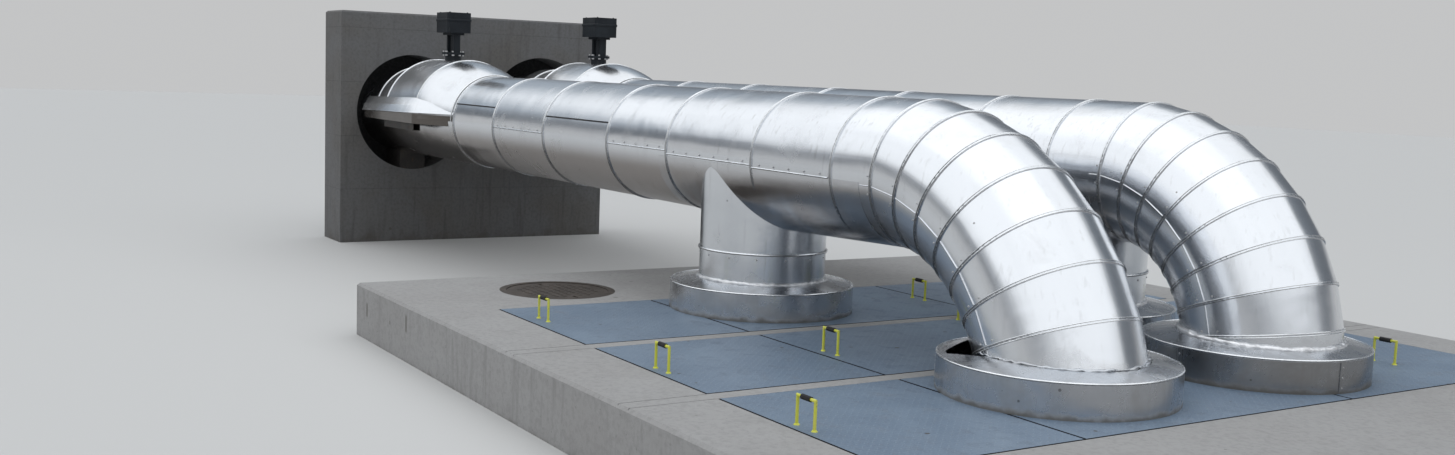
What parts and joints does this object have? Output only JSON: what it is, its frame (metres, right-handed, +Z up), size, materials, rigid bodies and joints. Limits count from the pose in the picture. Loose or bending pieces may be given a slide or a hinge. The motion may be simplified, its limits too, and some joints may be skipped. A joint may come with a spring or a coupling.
{
  "type": "industrial pipe bridge",
  "caption": "Twin sheet-clad heating pipes that run from a concrete portal wall over a chamber slab and dive through its covers in segmented elbows.",
  "frame": {"origin": "on the ground at the middle of the footprint's bounding box", "axes": "+X along the pipes from the wall to the elbows, +Y from the front pipe to the rear pipe, +Z up"},
  "size_m": [10.86, 5.13, 2.16],
  "materials": {
    "jacket": "bright rolled sheet",
    "flashing": "dull rolled sheet, stained at the foot",
    "steel": "dark primer",
    "concrete": "cast, light grey",
    "old_concrete": "cast, weathered",
    "cover": "blue-grey checker plate",
    "iron": "rough casting",
    "handle": "yellow paint",
    "rubber": "black",
    "actuator": "dark blue-grey paint"
  },
  "bodies": {
    "root": {"chamber_slab": "concrete", "cover_1_1": "cover", "cover_1_2": "cover", "cover_1_3": "cover", "cover_2_1": "cover", "cover_2_2": "cover", "cover_2_3": "cover", "cover_3_1": "cover", "cover_3_2": "cover", "cover_3_3": "cover", "cover_handles": "handle", "front_actuator": "actuator", "front_carrier_pipe": "steel", "front_column_flashing": "flashing", "front_column_jacket": "jacket", "front_column_ring": "flashing", "front_elbow_flashing": "flashing", "front_elbow_jacket": "jacket", "front_elbow_ring": "flashing", "front_hood_rails": "steel", "front_pipe_shoe": "steel", "front_run_jacket": "jacket", "front_tee_jacket": "jacket", "front_valve_hood": "jacket", "front_valve_stand": "actuator", "front_wall_seal": "rubber", "handle_grips": "rubber", "manhole_frame": "iron", "manhole_lid": "iron", "portal_wall": "old_concrete", "rear_actuator": "actuator", "rear_carrier_pipe": "steel", "rear_column_flashing": "flashing", "rear_column_jacket": "jacket", "rear_column_ring": "flashing", "rear_elbow_flashing": "flashing", "rear_elbow_jacket": "jacket", "rear_elbow_ring": "flashing", "rear_hood_rails": "steel", "rear_pipe_shoe": "steel", "rear_run_jacket": "jacket", "rear_tee_jacket": "jacket", "rear_valve_hood": "jacket", "rear_valve_stand": "actuator", "rear_wall_seal": "rubber"}
  },
  "joints": []
}
